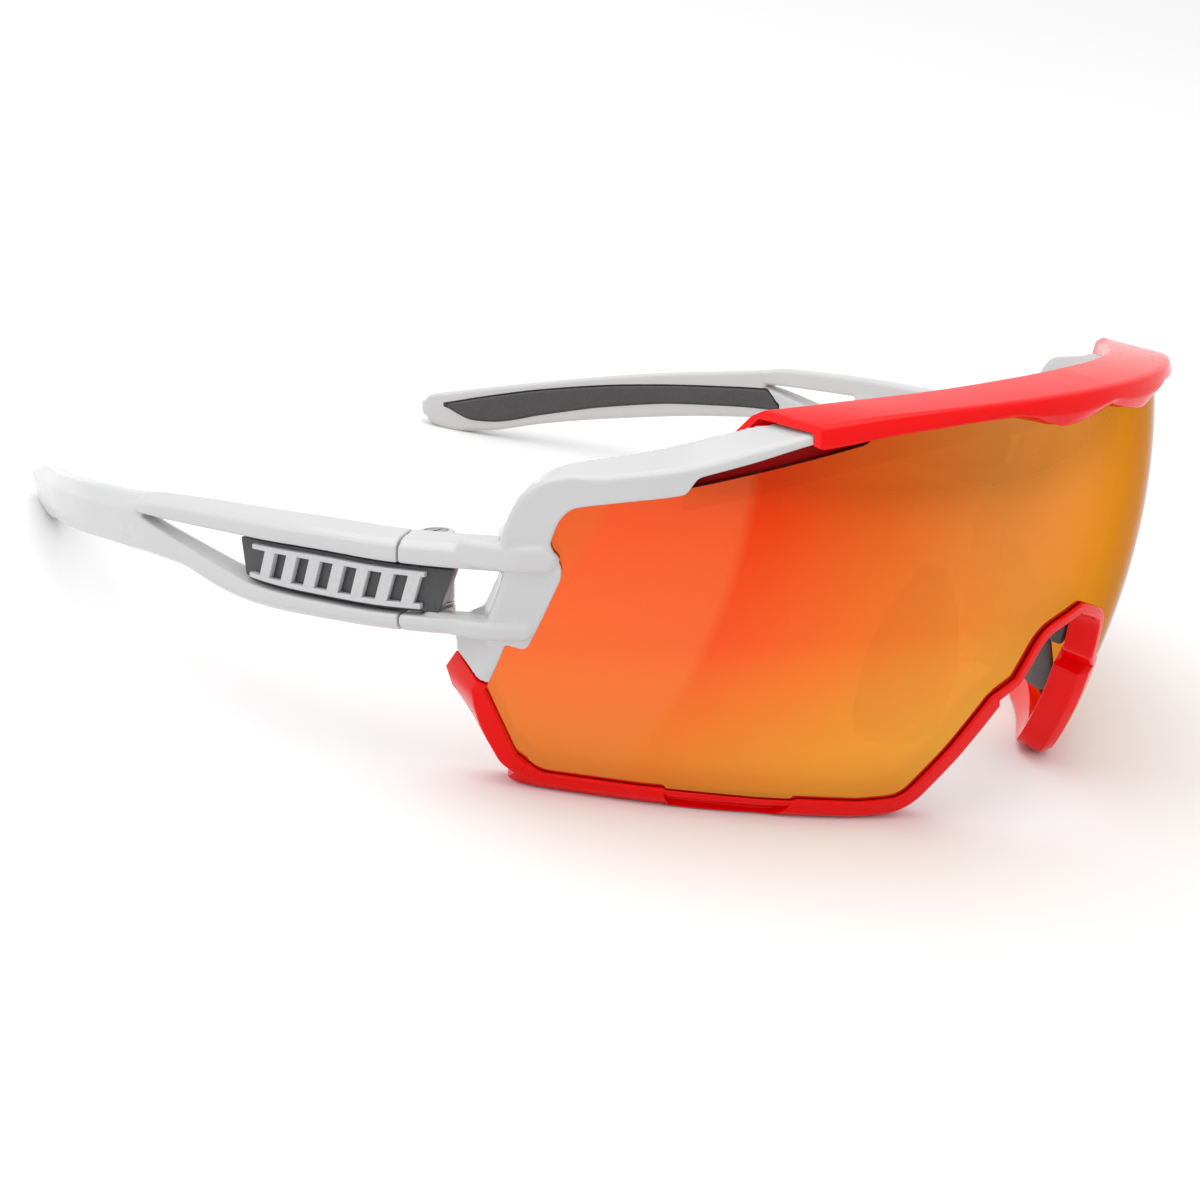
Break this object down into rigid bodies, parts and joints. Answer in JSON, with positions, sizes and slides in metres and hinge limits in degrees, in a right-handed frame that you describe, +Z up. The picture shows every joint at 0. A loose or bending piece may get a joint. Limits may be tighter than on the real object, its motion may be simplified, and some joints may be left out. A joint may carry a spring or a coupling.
{
  "type": "wraparound sport sunglasses",
  "caption": "Wraparound sport sunglasses with a one-piece mirrored shield lens, a white frame with red brow cover and lower rim, and folding forked temples.",
  "frame": {"origin": "on the surface the glasses rest on, on the centre plane, midway between the front of the lens and the temple tips", "axes": "+X to the wearer's left, +Y back along the temples, +Z up from the resting surface; the front faces -Y"},
  "size_m": [0.144, 0.1504, 0.0585],
  "materials": {
    "white_gloss": "polished white moulding",
    "red_gloss": "polished red moulding",
    "dark_red": "satin dark red",
    "mirror_lens": "mirror coating, red-orange to gold",
    "black_rubber": "soft matte rubber",
    "charcoal": "satin charcoal",
    "silver_grey": "satin silver-grey",
    "steel": "plain steel"
  },
  "bodies": {
    "front": {"front_frame": "white_gloss", "shield_lens": "mirror_lens", "lower_rim": "red_gloss", "brow_cover": "red_gloss", "brow_liner": "dark_red", "nose_carrier": "black_rubber", "hinge_screw_right": "steel", "hinge_washer_right": "steel", "cover_screw_right": "steel", "hinge_screw_left": "steel", "hinge_washer_left": "steel", "cover_screw_left": "steel"},
    "right_temple": {"temple_right": "white_gloss", "badge_plate_right": "charcoal", "badge_relief_right": "silver_grey", "temple_grip_right": "black_rubber"},
    "right_nose_pad": {"nose_pad_right": "black_rubber", "pad_wire_right": "steel"},
    "left_temple": {"temple_left": "white_gloss", "badge_plate_left": "charcoal", "badge_relief_left": "silver_grey", "temple_grip_left": "black_rubber"},
    "left_nose_pad": {"nose_pad_left": "black_rubber", "pad_wire_left": "steel"}
  },
  "joints": [
    {"name": "right_temple_fold", "type": "hinge", "parent": "front", "child": "right_temple", "pos_m": [-0.062, -0.02061, 0.01746], "axis": [0, -0.2124, -0.9772], "range_deg": [0, 92]},
    {"name": "left_temple_fold", "type": "hinge", "parent": "front", "child": "left_temple", "pos_m": [0.062, -0.02061, 0.01746], "axis": [0, 0.2124, 0.9772], "range_deg": [0, 70]},
    {"name": "right_pad_swivel", "type": "hinge", "parent": "front", "child": "right_nose_pad", "pos_m": [-0.0094, -0.06695, 0.02088], "axis": [0.3008, 0.2513, 0.92], "range_deg": [-8, 8]},
    {"name": "left_pad_swivel", "type": "hinge", "parent": "front", "child": "left_nose_pad", "pos_m": [0.0094, -0.06695, 0.02088], "axis": [-0.3008, 0.2513, 0.92], "range_deg": [-8, 8]}
  ]
}
